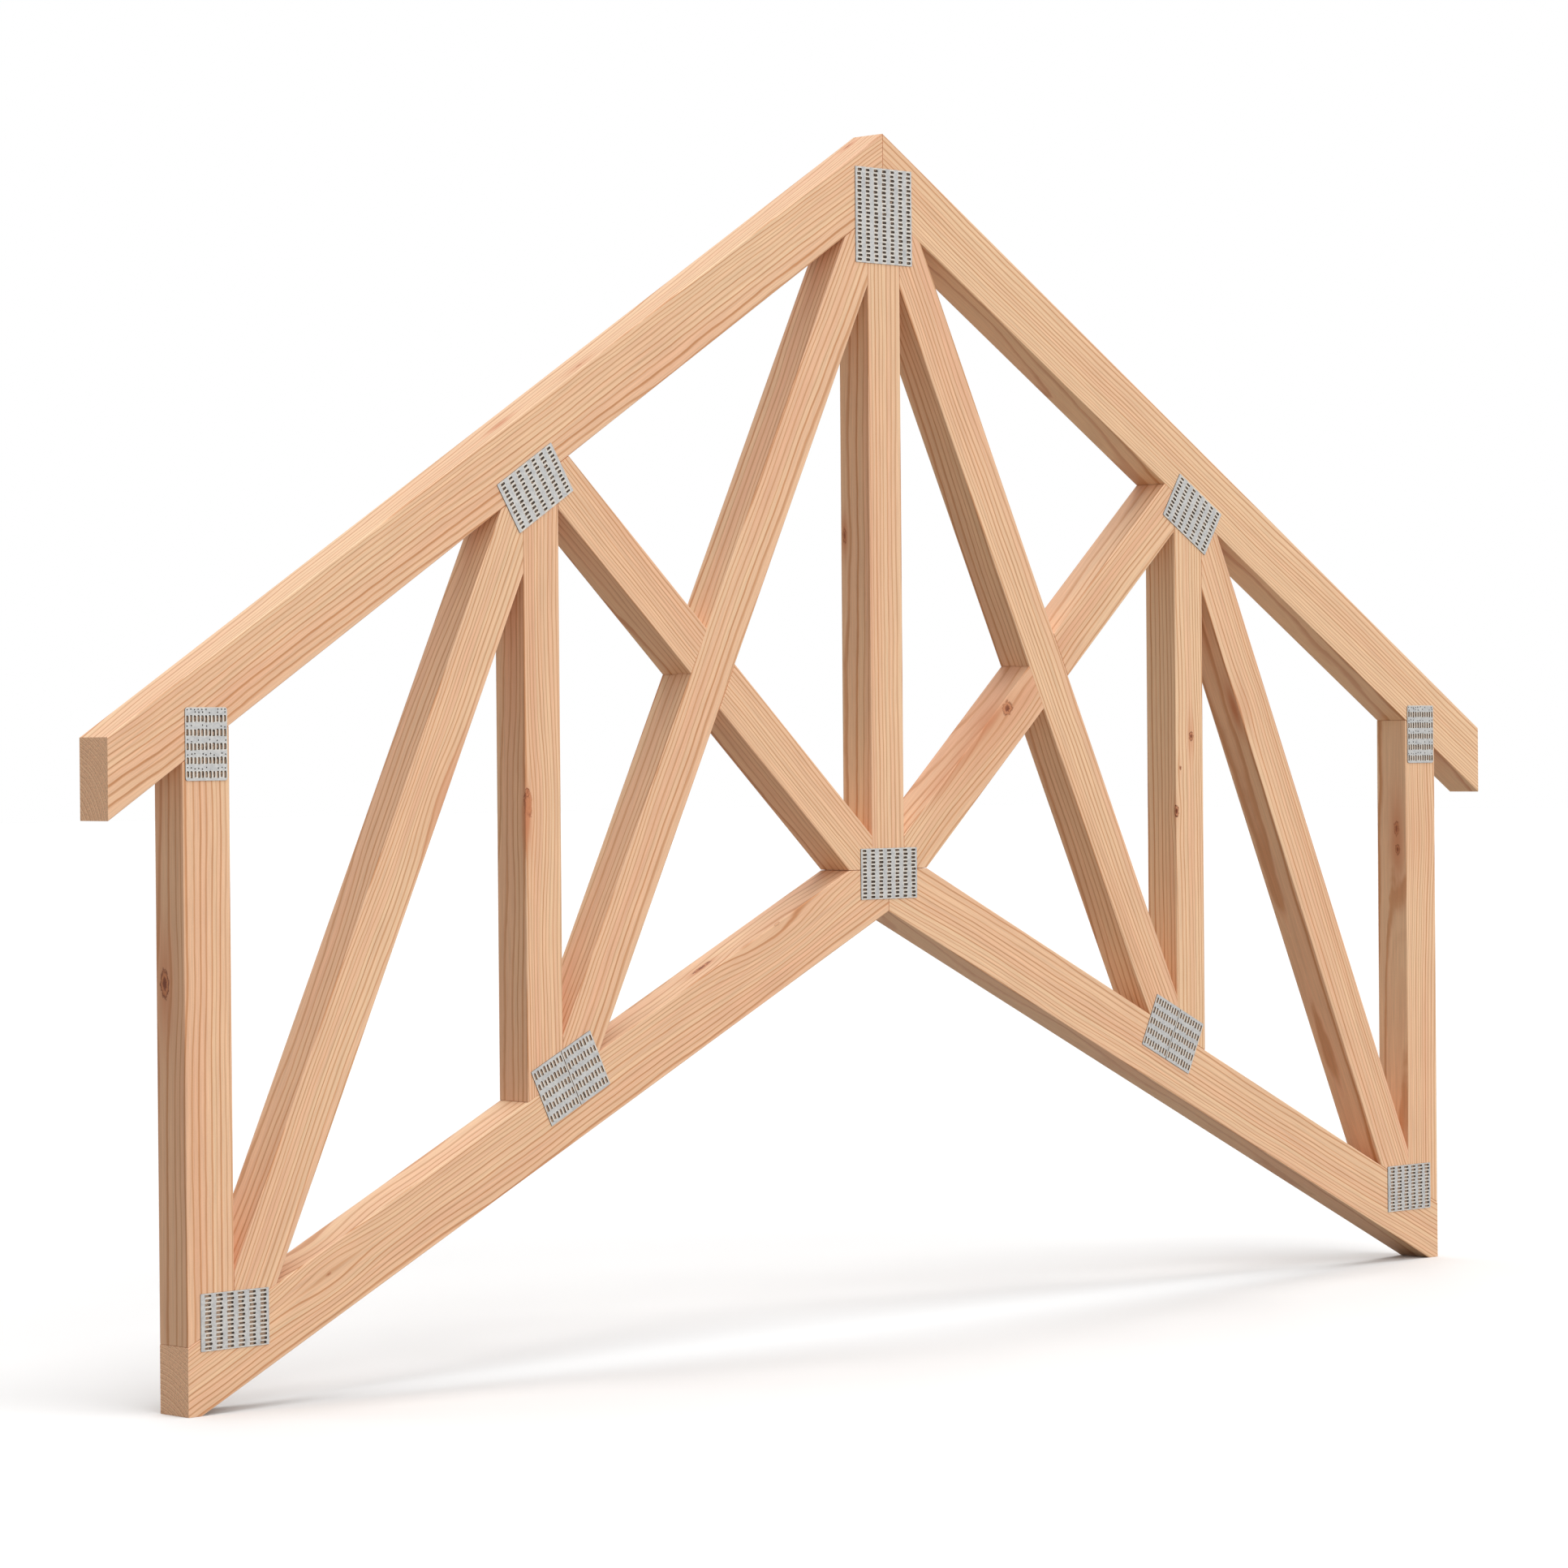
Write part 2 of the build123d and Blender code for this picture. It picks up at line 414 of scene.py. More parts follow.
@dataclass(frozen=True)
class Softwood:
    """Planed pine or spruce: soft pale early wood and narrow orange late wood.

    Args:
        early_pale: Early wood at a tone of 0.
        early_warm: Early wood at a tone of 1.
        late: The late wood that draws the lines.
        heart: The redder wood in bands and around knots.
        end: The sawn end grain between its lines.
        knot: A knot's paler wood.
        knot_dark: A knot's darker rings.
        bark: The core and the bark of a knot.
        roughness: The roughness of the early wood.
        relief: The height of the raised grain.
        narrowing: How fast the rings get narrower away from the pith.
        parting: How a knot's push on the grain thins along, through and across it.
        blush: How the red around a knot thins, likewise.
        bends: The scales, and the height in metres, of the long and the short bends of the rings.
        shiver: The same of their finest bends, which every timber has.
        fibre: Scales of the wood's fibres.
        thread: Scales of the coarser threads.
        band: Scales of the redder bands.
        blotch: Scales of the changes in tone.
        pores: Scale of the pores.
        saw_marks: Scale of the speckle of sawn end grain.
    """

    early_pale: Colour = srgb(244, 207, 169)
    early_warm: Colour = srgb(240, 191, 156)
    late: Colour = srgb(199, 136, 88)
    heart: Colour = srgb(206, 134, 94)
    end: Colour = srgb(252, 209, 173)
    knot: Colour = srgb(206, 134, 90)
    knot_dark: Colour = srgb(158, 88, 50)
    bark: Colour = srgb(112, 52, 24)
    roughness: float = 0.60
    relief: float = 0.2 * MILLIMETRE
    narrowing: float = 12.0
    parting: Triple = (0.36, 1.0, 1.0)
    blush: Triple = (0.22, 1.0, 1.0)
    bends: tuple[tuple[Triple, float], ...] = (((1.3, 4.0, 4.0), 0.022), ((5.0, 15.0, 15.0), 0.0060))
    shiver: tuple[Triple, float] = ((34.0, 90.0, 90.0), 0.0009)
    fibre: Triple = (14.0, 620.0, 620.0)
    thread: Triple = (5.0, 210.0, 210.0)
    band: Triple = (0.7, 24.0, 24.0)
    blotch: Triple = (2.5, 10.0, 10.0)
    pores: float = 900.0
    saw_marks: float = 520.0

    @staticmethod
    def hump(offset: Flow, reach: Flow) -> Flow:
        """A smooth hump that is 1 at no offset and nearly 0 past the reach."""
        far = offset.vector("LENGTH") / reach
        return (far.math("POWER", 2.0) * -1.0).math("EXPONENT")

    def parting_group(self) -> None:
        """Make the group that parts the grain around one knot."""
        nodes = new_group("grain_parting", "ShaderNodeTree",
                          {VECTOR: ("Grain", "Centre", "Spread"), NUMBER: ("Reach", "Pull")},
                          {VECTOR: ("Warp",)})
        source = nodes.sources()
        flat = (source["Grain"] - source["Centre"]) * source["Spread"]
        push = self.hump(flat * self.parting, source["Reach"]) * source["Pull"] * -1.0
        nodes.results(Warp=flat * (0.0, 1.0, 1.0) * push)

    def knot_group(self) -> None:
        """Make the group that colours one knot, on coordinates where its radius is 1."""
        nodes = new_group("knot", "ShaderNodeTree",
                          {VECTOR: ("Grain", "Centre", "Spread", "Stretch", "Side"),
                           NUMBER: ("Radius", "Reach", "Core", "Rim", "Halo"), COLOUR: ("Colour",)},
                          {COLOUR: ("Colour",)})
        source = nodes.sources()
        flat = (source["Grain"] - source["Centre"]) * source["Spread"]
        around = flat * source["Stretch"]
        compass = around.vector("NORMALIZE")
        lobes = (compass * 1.7 + source["Centre"] * 9.0).noise(1.0, 1.0)
        rough = (source["Grain"] * 700.0).noise(1.0, 2.0)
        chips = (source["Grain"] * 260.0).noise(1.0, 1.0)

        near = around.vector("LENGTH") / source["Radius"] * (lobes * 0.9 + 0.55) + (rough * 0.5 - 0.25)
        disc = 1.0 - near.smooth(0.85, 1.10)
        middle = 1.0 - near.smooth(0.30, 0.62)
        rim = near.smooth(0.78, 0.92) * (1.0 - near.smooth(1.0, 1.20)) * chips.smooth(0.28, 0.48)
        rim = rim * compass.vector("DOT_PRODUCT", source["Side"]).smooth(-0.65, -0.15)
        turns = (near * 17.0).math("SINE") * 0.35 + 0.35
        blush = self.hump(flat * self.blush, source["Reach"] * 0.6)
        present = (source["Core"] + source["Rim"]).math("MINIMUM", 0.75)

        colour = nodes.mix(blush * source["Halo"], source["Colour"], self.heart)
        colour = nodes.mix(disc * present, colour, nodes.mix(turns, self.knot, self.knot_dark))
        colour = nodes.mix(middle * source["Core"], colour, self.bark)
        nodes.results(Colour=nodes.mix(rim * source["Rim"], colour, self.bark))

    def ring_group(self) -> None:
        """Make the group that gives the wood's colour and relief from the log's rings.

        Its Grain input is along, through and across the timber, in metres.
        """
        nodes = new_group("log_rings", "ShaderNodeTree",
                          {VECTOR: ("Grain", "Warp", "Pith", "Slope"),
                           NUMBER: ("Ring", "Seed", "Tone", "Wave", "End")},
                          {COLOUR: ("Colour",), NUMBER: ("Height", "Roughness")})
        source = nodes.sources()
        grain, seed = source["Grain"], source["Seed"]
        shift = nodes.combine(seed * 3.1, seed * 7.3, seed)

        def stretched(scales: Triple, detail: float, output: str = "Fac") -> Flow:
            """Noise on the grain coordinates, with its own scale in each direction."""
            return (grain * scales + shift).noise(1.0, detail, output)

        def bend(scales: Triple, height: float) -> Flow:
            """A random push on the rings, of up to half the height either way."""
            return (stretched(scales, 1.0, "Color") - (0.5, 0.5, 0.5)) * height

        long_bend, short_bend = (bend(*item) for item in self.bends)
        push = (long_bend + short_bend) * source["Wave"] + bend(*self.shiver) + source["Warp"]
        pith = source["Pith"] + source["Slope"] * grain.parts()[0]
        radius = ((grain + push - pith) * (0.0, 1.0, 1.0)).vector("LENGTH")
        growth = radius * radius * self.narrowing + radius
        years = growth / (source["Ring"] * (1.0 + 0.2 * self.narrowing))
        years = nodes.combine(years * 0.45 + seed, 0.0, 0.0).noise(1.0, 1.0) * 1.1 + years
        season = years.math("FRACT")
        chance = nodes.outputs(nodes.add("ShaderNodeTexWhiteNoise", noise_dimensions="1D",
                                         W=years.math("FLOOR") + seed))
        strength = chance["Value"] * 0.42 + 0.54
        late = season.smooth(0.54, 0.84) * (1.0 - season.smooth(0.87, 1.0)) * strength
        thirds = (years * (6.0 * pi)).math("SINE").smooth(0.1, 1.0)
        halves = (years * (4.0 * pi)).math("SINE").smooth(-0.2, 1.0)
        fibre = stretched(self.fibre, 2.0)
        band = stretched(self.band, 2.0).smooth(0.54, 0.80)

        tone = source["Tone"] + (stretched(self.blotch, 2.0) * 1.6 - 0.8)
        tone = tone + (chance["Color"].parts()[1] * 0.6 - 0.30)
        colour = nodes.mix(tone, self.early_pale, self.early_warm)
        for share, wood in ((band * 0.26, self.heart), (thirds * 0.09, self.late), (late, self.late)):
            colour = nodes.mix(share, colour, wood)
        streak = (fibre * 0.40 + 0.80) * (stretched(self.thread, 1.0) * 0.16 + 0.92)
        streak = streak * (stretched((self.pores,) * 3, 2.0) * 0.12 + 0.94)
        colour = nodes.shaded(colour, streak)
        sawn = nodes.mix(halves * 0.42 + late * 0.38, self.end, self.late)
        sawn = nodes.shaded(sawn, stretched((self.saw_marks,) * 3, 2.0) * 0.90 + 0.60)
        nodes.results(Colour=nodes.mix(source["End"], colour, sawn), Height=late * 0.5 + fibre,
                      Roughness=late * -0.08 + self.roughness)

    def material(self, name: str, centre: Vector, angle: float, grain: Grain) -> bpy.types.Material:
        """Make one timber's own material.

        Args:
            name: The timber's name.
            centre: The middle of its box.
            angle: The turn about Y that lays its length along X, in radians.
            grain: How its rings lie.

        Returns:
            The material.
        """
        material, nodes = new_material(f"{name}_softwood")
        turn = Matrix.Rotation(angle, 3, "Y")
        place = nodes.flow("ShaderNodeMapping", vector_type="POINT", Rotation=(0.0, angle, 0.0),
                           Vector=nodes.flow("ShaderNodeTexCoord", output="Object"),
                           Location=-(turn @ centre))
        seats = [{"Grain": place, "Centre": turn @ (Vector(knot.at) - centre), "Reach": knot.reach,
                  "Spread": knot.branch.value} for knot in grain.knots]
        warp: object = (0.0, 0.0, 0.0)
        for knot, seat in zip(grain.knots, seats):
            warp = nodes.group("grain_parting", {**seat, "Pull": knot.pull})["Warp"] + warp
        rings = nodes.group("log_rings", {
            "Grain": place, "Warp": warp, "Pith": (0.0, *grain.pith), "Slope": (0.0, *grain.slope),
            "Ring": grain.ring, "Seed": grain.seed, "Tone": grain.tone, "Wave": grain.wave,
            "End": nodes.flow("ShaderNodeAttribute", output="Fac", attribute_name=END_GRAIN)})
        colour = rings["Colour"]
        for knot, seat in zip(grain.knots, seats):
            colour = nodes.group("knot", {
                **seat, "Stretch": (1.0 / knot.long, 1.0, 1.0), "Side": knot.side, "Radius": knot.radius,
                "Core": knot.core, "Rim": knot.rim, "Halo": knot.halo, "Colour": colour})["Colour"]
        bump = nodes.flow("ShaderNodeBump", Strength=0.5, Distance=self.relief, Height=rings["Height"])
        nodes.shade({"Base Color": colour, "Roughness": rings["Roughness"], "Normal": bump,
                     "Specular IOR Level": 0.35})
        return material


@dataclass(frozen=True)
class GalvanisedSheet:
    """Thin zinc-coated steel: a dull grey with faint flakes, and a painted highlight on the bent metal
    between two slots.

    Args:
        light: Its lighter flakes.
        dark: Its darker flakes.
        worn: The painted highlight on the bent metal between two slots.
        worn_share: How strongly that painted highlight shows.
        worn_reach: How far it reaches along the slots, as a share of their spacing.
        worn_fade: Over how much of the spacing it fades out.
        roughness: The roughness of its smoothest flakes.
        metallic: How far it is bare metal and not dull zinc.
        flake_scale: Scale of its flakes.
        cloud_scale: Scale of its soft clouds.
        worn_scale: Scale of the painted highlight's ragged edge.
        grit_scale: Scale of its fine grit.
    """

    light: Colour = srgb(193, 192, 189)
    dark: Colour = srgb(166, 167, 168)
    worn: Colour = srgb(216, 206, 192)
    worn_share: float = 0.55
    worn_reach: float = 0.27
    worn_fade: float = 0.10
    roughness: float = 0.48
    metallic: float = 0.7
    flake_scale: float = 300.0
    cloud_scale: float = 60.0
    worn_scale: float = 260.0
    grit_scale: float = 900.0

    def material(self) -> bpy.types.Material:
        """Make the sheet's material.

        Returns:
            The material.
        """
        material, nodes = new_material("galvanised_sheet")
        place = nodes.flow("ShaderNodeTexCoord", output="Object")
        flake = nodes.flow("ShaderNodeTexVoronoi", output="Color", feature="F1", Vector=place,
                           Scale=self.flake_scale).parts()[0]
        share = flake * 0.5 + (place.noise(self.cloud_scale, 3.0) - 0.25)
        colour = nodes.mix(share, self.light, self.dark)
        # Painted highlight: the bent metal between the slots of a column is made paler.
        along = nodes.flow("ShaderNodeAttribute", output="Vector", attribute_name=SLOT_CELL).parts()[0]
        off_column = ((along + 0.5).math("FRACT") - 0.5).math("ABSOLUTE")
        ragged = place.noise(self.worn_scale, 1.0) * 0.16 + off_column
        column = 1.0 - ragged.smooth(self.worn_reach, self.worn_reach + self.worn_fade)
        colour = nodes.mix(column * self.worn_share, colour, self.worn)
        colour = nodes.shaded(colour, place.noise(self.grit_scale, 2.0) * 0.30 + 0.85)
        nodes.shade({"Base Color": colour, "Roughness": flake * 0.10 + self.roughness,
                     "Metallic": self.metallic})
        return material


@dataclass(frozen=True)
class CrushedWood:
    """A rough, mottled finish: the crushed wood in a punched slot, the painted shade in its holes, or the
    sheet's sheared edge darkened as painted shade.

    Args:
        name: The material's name.
        dark: Its darker colour.
        light: Its lighter colour.
        scale: Scale of its mottle.
        roughness: Its roughness.
    """

    name: str
    dark: Colour
    light: Colour
    scale: float = 260.0
    roughness: float = 0.9

    def material(self) -> bpy.types.Material:
        """Make the finish's material.

        Returns:
            The material.
        """
        material, nodes = new_material(self.name)
        mottle = nodes.flow("ShaderNodeTexCoord", output="Object").noise(self.scale, 2.0)
        nodes.shade({"Base Color": nodes.mix(mottle, self.dark, self.light), "Roughness": self.roughness})
        return material


def clean_copy(node: str) -> bmesh.types.BMesh:
    """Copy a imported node's mesh as whole flat faces.

    Args:
        node: The node's name.

    Returns:
        The copy, with its doubles merged and its flat triangles joined.
    """
    mesh = bmesh.new()
    mesh.from_mesh(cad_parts[node].data)
    bmesh.ops.remove_doubles(mesh, verts=mesh.verts, dist=0.02 * MILLIMETRE)
    bmesh.ops.dissolve_limit(mesh, angle_limit=radians(0.5), verts=mesh.verts, edges=mesh.edges)
    return mesh


def grain_direction(mesh: bmesh.types.BMesh) -> Vector:
    """Find the direction of a timber's length, which is that of its longest edge.

    Args:
        mesh: The timber's clean copy.

    Returns:
        A unit vector towards +X, or +Z for a post.
    """
    edge = max(mesh.edges, key=lambda item: item.calc_length())
    way = (edge.verts[1].co - edge.verts[0].co).normalized()
    return -way if way.x < -0.01 or (abs(way.x) <= 0.01 and way.z < 0) else way


def new_object(name: str, data: bpy.types.ID) -> bpy.types.Object:
    """Put an object into the scene, at the origin.

    Args:
        name: Its name.
        data: Its mesh, lamp or camera.

    Returns:
        The object.
    """
    obj = bpy.data.objects.new(name, data)
    bpy.context.scene.collection.objects.link(obj)
    return obj


def finished_mesh(obj: bpy.types.Object) -> None:
    """Turn an object's modifiers into its plain mesh.

    Args:
        obj: The object, which keeps no modifier.
    """
    graph = bpy.context.evaluated_depsgraph_get()
    mesh = bpy.data.meshes.new_from_object(obj.evaluated_get(graph))
    obj.modifiers.clear()
    obj.data = mesh


def place_piece(obj: bpy.types.Object, node: str) -> None:
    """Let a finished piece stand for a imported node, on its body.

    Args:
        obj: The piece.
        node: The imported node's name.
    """
    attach(obj, BODY)
    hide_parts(node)
    LOG.info("%s stands for %s with %d faces", obj.name, node, len(obj.data.polygons))


@dataclass(frozen=True)
class TimberFrame:
    """The sawn timbers of the truss.

    Args:
        wood: Their finish.
        arris: Radius of the eased long edges.
        cut_share: How much of that radius the free saw cuts' edges get.
        joint_share: How much of it the edges of a joint get.
        joint_gap: How wide a joint stands open at the timber's surface.
        joint_depth: How far in a joint closes.
        segments: Steps of each rounded edge.
        free_ends: How far from the middle of the span the plumb cuts lie that meet no other timber.
        cut_lean: How squarely a face looks along the timber for a saw cut, as a cosine.
        steep_lean: The same for the slantest cut whose gap is still opened in full.
        end_lean: The same where the end grain starts, and how much more shows it fully.
        sharp: The least angle of an edge that is eased.
    """

    wood: Softwood = Softwood()
    arris: float = 1.3 * MILLIMETRE
    cut_share: float = 0.40
    joint_share: float = 0.15
    joint_gap: float = 0.6 * MILLIMETRE
    joint_depth: float = 5.0 * MILLIMETRE
    segments: int = 3
    free_ends: tuple[float, ...] = (1.397, 1.280)
    cut_lean: float = 0.2
    steep_lean: float = 0.7
    end_lean: float = 0.3
    sharp: float = 20.0

    def build(self) -> None:
        """Make and dress every timber."""
        self.wood.parting_group()
        self.wood.knot_group()
        self.wood.ring_group()
        for node, grain in TIMBER_GRAINS.items():
            self.timber(node, grain)

    def open_joints(self, mesh: bmesh.types.BMesh, way: Vector) -> set[bmesh.types.BMVert]:
        """Ease the saw cuts that meet other timbers, so that each joint shows as a fine groove.

        Args:
            mesh: The timber's clean copy.
            way: The direction of its length.

        Returns:
            The corners of those cuts.
        """
        cuts = []
        for face in mesh.faces:
            middle = face.calc_center_median()
            on_floor = abs(middle.z) < MILLIMETRE
            free = on_floor or any(abs(abs(middle.x) - place) < MILLIMETRE for place in self.free_ends)
            if abs(face.normal.dot(way)) > self.cut_lean and not free:
                cuts.append(face)
        slides: dict[bmesh.types.BMVert, Vector] = {}
        for face in cuts:
            lean = face.normal.dot(way)
            slide = -way * self.joint_gap / copysign(max(abs(lean), self.steep_lean), lean)
            for corner in face.verts:
                if corner not in slides or slides[corner].length < slide.length:
                    slides[corner] = slide
        for face in cuts:
            room = min(edge.calc_length() for edge in face.edges)
            bmesh.ops.inset_individual(mesh, faces=[face], thickness=min(self.joint_depth, 0.2 * room),
                                       use_even_offset=True)
        for corner, slide in slides.items():
            corner.co += slide
        mesh.normal_update()
        return set(slides)

    def weigh_edges(self, mesh: bmesh.types.BMesh, way: Vector, jointed: set[bmesh.types.BMVert],
                    outside: float) -> None:
        """Say how much of the full radius each edge of a timber gets.

        Args:
            mesh: The timber's clean copy.
            way: The direction of its length.
            jointed: The corners of its joints' cuts.
            outside: How far from the middle of the thickness its long edges lie at least.
        """
        weights = mesh.edges.layers.float.new("bevel_weight_edge")
        for edge in mesh.edges:
            if len(edge.link_faces) != 2 or edge.calc_face_angle(0.0) < radians(self.sharp):
                continue
            first, last = (corner.co for corner in edge.verts)
            lengthwise = abs((last - first).normalized().dot(way)) > 0.999
            if lengthwise and min(abs(first.y), abs(last.y)) > outside:
                edge[weights] = 1.0
            else:
                edge[weights] = self.joint_share if jointed.issuperset(edge.verts) else self.cut_share

    def mark_faces(self, mesh: bpy.types.Mesh, way: Vector, sawn: list[Vector]) -> None:
        """Smooth the long arrises, and store how much end grain each face shows.

        Args:
            mesh: The timber's mesh with its eased edges.
            way: The direction of its length.
            sawn: The normals of its flat faces.
        """
        ends = mesh.attributes.new(END_GRAIN, "FLOAT", "FACE")
        for polygon, end in zip(mesh.polygons, ends.data):
            lean = abs(polygon.normal.dot(way))
            rounded = max(polygon.normal.dot(normal) for normal in sawn) < cos(radians(1))
            polygon.use_smooth = rounded and lean < 0.02
            end.value = min(max((lean - self.end_lean) / self.end_lean, 0.0), 1.0)

    def timber(self, node: str, grain: Grain) -> None:
        """Make one timber with eased edges and its own wood.

        Args:
            node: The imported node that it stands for.
            grain: How its rings lie.
        """
        copy = clean_copy(node)
        way = grain_direction(copy)
        jointed = self.open_joints(copy, way)
        sawn = [face.normal.copy() for face in copy.faces]
        low, high = (Vector(corner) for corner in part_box(node))
        self.weigh_edges(copy, way, jointed, max(abs(low.y), abs(high.y)) - 0.5 * MILLIMETRE)
        mesh = bpy.data.meshes.new(f"{node}_timber")
        copy.to_mesh(mesh)
        copy.free()
        obj = new_object(f"{node}_timber", mesh)
        bevel = obj.modifiers.new("eased edges", "BEVEL")
        bevel.limit_method = "WEIGHT"
        bevel.width = self.arris
        bevel.segments = self.segments
        bevel.use_clamp_overlap = True
        finished_mesh(obj)
        self.mark_faces(obj.data, way, sawn)
        angle = -Vector((1, 0)).angle_signed(Vector((way.x, way.z)))
        obj.data.materials.clear()
        obj.data.materials.append(self.wood.material(node, (low + high) / 2, angle, grain))
        place_piece(obj, node)


@dataclass(frozen=True)
class PlateStock:
    """One size of punched nail plate, with its slots along its length.

    Args:
        length: Its size along the slots.
        width: Its size across the slots.
        columns: How many slots lie end to end.
        rows: How many slots lie side by side.
        pitch_along: Spacing of the slots end to end.
        pitch_across: Spacing of the slots side by side.
        slot_length: Length of a slot.
        slot_width: Width of a slot.
        shift: How far the slots lie off the middle, along the length.
        corner: Radius of the plate's corners.
        stagger: How far every second slot is set back.
        root: How much of a slot the curled root of its tooth fills.
        dark_from: Where the painted shade at one end of the slot starts, from -1 to 1 along the slot.
        dark_to: Where the painted shade at its other end stops.
        rim: Where the painted shade along the slot's sides starts, from 0 at its middle to 1 at its edge.
        speck_share: Share of the places between the slots that have a small hole.
    """

    length: float
    width: float
    columns: int
    rows: int
    pitch_along: float
    pitch_across: float
    slot_length: float = 8.2 * MILLIMETRE
    slot_width: float = 3.5 * MILLIMETRE
    shift: float = 0.0
    corner: float = 1.0 * MILLIMETRE
    stagger: float = 0.7 * MILLIMETRE
    root: float = 1.5 * MILLIMETRE
    dark_from: float = -0.4
    dark_to: float = -0.6
    rim: float = 0.6
    speck_share: float = 0.0

    @staticmethod
    def label(name: str) -> str:
        """Give the name that the tree's input for one of these sizes has."""
        return name.replace("_", " ").capitalize()


class Draw(Enum):
    """What a random draw decides, with what it adds to the plate's seed."""

    SIZE = 0.0
    SLOT_PLACE = 7.0
    SPECK = 31.0
    SPECK_PLACE = 53.0
    SWAP = 71.0


@dataclass(frozen=True)
class PunchedSheet:
    """The tree of a nail plate, lying on z = 0 with its slots along x.

    Args:
        nodes: The tree's helper.
        source: The tree's inputs, with one for each size.
        smallest: What a slot's least length and width by chance are, as a share of the stated ones.
        largest: The same for its greatest length and width.
        slot_corner: Radius of a slot's corners, as a share of its width.
        swapped: Share of the torn patches and of the patches of painted shade that are swapped by chance.
        speck_radius: Radius of the small holes between the slots.
        floor_lift: How far above the timber the top of the wood in a slot lies.
        floor_thickness: How thick that layer is.
        weld: How near points are that become one.
    """

    nodes: Nodes
    source: dict[str, Flow]
    smallest: Triple = (0.88, 0.86, 1.0)
    largest: Triple = (1.10, 1.08, 1.0)
    slot_corner: float = 0.42
    swapped: float = 0.10
    speck_radius: float = 1.15 * MILLIMETRE
    floor_lift: float = 0.12 * MILLIMETRE
    floor_thickness: float = 0.05 * MILLIMETRE
    weld: float = 0.002 * MILLIMETRE

    def build(self) -> None:
        """Fill the tree: the slotted sheet, the tooth roots, and the wood and painted shade in the slots,
        with finishes.
        """
        nodes, source = self.nodes, self.source
        slots = self.slot_points()
        specks = self.speck_points(slots)
        scale = self.chance(Draw.SIZE, self.smallest, self.largest)

        outline = self.rounded("Length", "Width", source["Corner"])
        slot = self.rounded("Slot length", "Slot width", source["Slot width"] * self.slot_corner)
        speck = nodes.flow("GeometryNodeCurvePrimitiveCircle", Resolution=6, Radius=self.speck_radius)
        loops = nodes.join(slot.copied_to(slots, scale), speck.copied_to(specks, scale)).realized()
        under = nodes.flow("GeometryNodeFillCurve", Curve=nodes.join(outline, loops))
        thickness = {"Offset Scale": source["Thickness"], "Individual": False}
        raised = nodes.outputs(nodes.add("GeometryNodeExtrudeMesh", thickness, Mesh=under))
        # The sheet's cut sides get the sheared edge finish: dull bare steel, darkened as painted shade.
        upper = raised["Mesh"].finished(raised["Side"] * FINISHES.index("Edge"))
        lower = nodes.flow("GeometryNodeFlipFaces", Mesh=under)
        sheet = self.counted(nodes.join(upper, lower).welded(self.weld))

        # Painted shade: a dark disc under each small hole between the slots.
        dot = nodes.flow("GeometryNodeMeshCylinder", Vertices=6, Radius=self.speck_radius * 1.1,
                         Depth=self.floor_thickness)
        dot = dot.placed((0.0, 0.0, self.floor_lift - self.floor_thickness / 2))
        dots = dot.finished(FINISHES.index("Pocket")).copied_to(specks, scale)
        roots = self.tooth_root().copied_to(slots, scale)
        floors = self.splintered(self.pocket_floor().copied_to(slots, scale))
        result = nodes.join(sheet, roots, floors, dots).realized()
        for number, label in enumerate(FINISHES):
            chosen = nodes.flow("FunctionNodeCompare", {"A": nodes.finish_number(), "B": number},
                                data_type="INT", operation="EQUAL")
            result = nodes.flow("GeometryNodeSetMaterial", Geometry=result, Selection=chosen,
                                Material=source[label])
        nodes.results(Geometry=result)

    def rounded(self, length: str, width: str, radius: Flow) -> Flow:
        """Draw a flat rectangle with rounded corners."""
        curve = self.nodes.flow("GeometryNodeCurvePrimitiveQuadrilateral", Width=self.source[length],
                                Height=self.source[width])
        return self.nodes.flow("GeometryNodeFilletCurve", mode="POLY", Curve=curve, Count=2, Radius=radius)

    def chance(self, draw: Draw, low: Triple, high: Triple, step: float = 0.0) -> Flow:
        """Draw a random vector for each point."""
        return self.nodes.flow("FunctionNodeRandomValue", data_type="FLOAT_VECTOR", Min=low, Max=high,
                               Seed=self.source["Seed"] + (draw.value + step))

    def lot(self, draw: Draw, share: object, step: float = 0.0) -> Flow:
        """Pick a share of the points or faces at random."""
        return self.nodes.flow("FunctionNodeRandomValue", data_type="BOOLEAN", Probability=share,
                               Seed=self.source["Seed"] + (draw.value + step))

    def span(self, number: str, pitch: str) -> Flow:
        """Give the distance from the first slot's middle to the last one's."""
        return (self.source[number] - 1.0) * self.source[pitch]

    def counted(self, sheet: Flow) -> Flow:
        """Store each point's place as a count of slots, which is whole at a slot's middle.

        Args:
            sheet: The sheet.

        Returns:
            The sheet with its counts.
        """
        source = self.source
        along, across, _ = self.nodes.position()
        column = (along - source["Shift"]) / source["Pitch along"] + (source["Columns"] - 1.0) * 0.5
        row = across / source["Pitch across"] + (source["Rows"] - 1.0) * 0.5
        return self.nodes.flow("GeometryNodeStoreNamedAttribute", data_type="FLOAT_VECTOR", domain="POINT",
                               Geometry=sheet, Name=SLOT_CELL, Value=self.nodes.combine(column, row, 0.0))

    def splintered(self, floors: Flow) -> Flow:
        """Swap some torn patches and some patches of painted shade at random, whose numbers of 1 and 2 add
        up to 3.
        """
        swap = self.lot(Draw.SWAP, self.swapped)
        return floors.realized().finished(3.0 - self.nodes.finish_number(), Selection=swap)

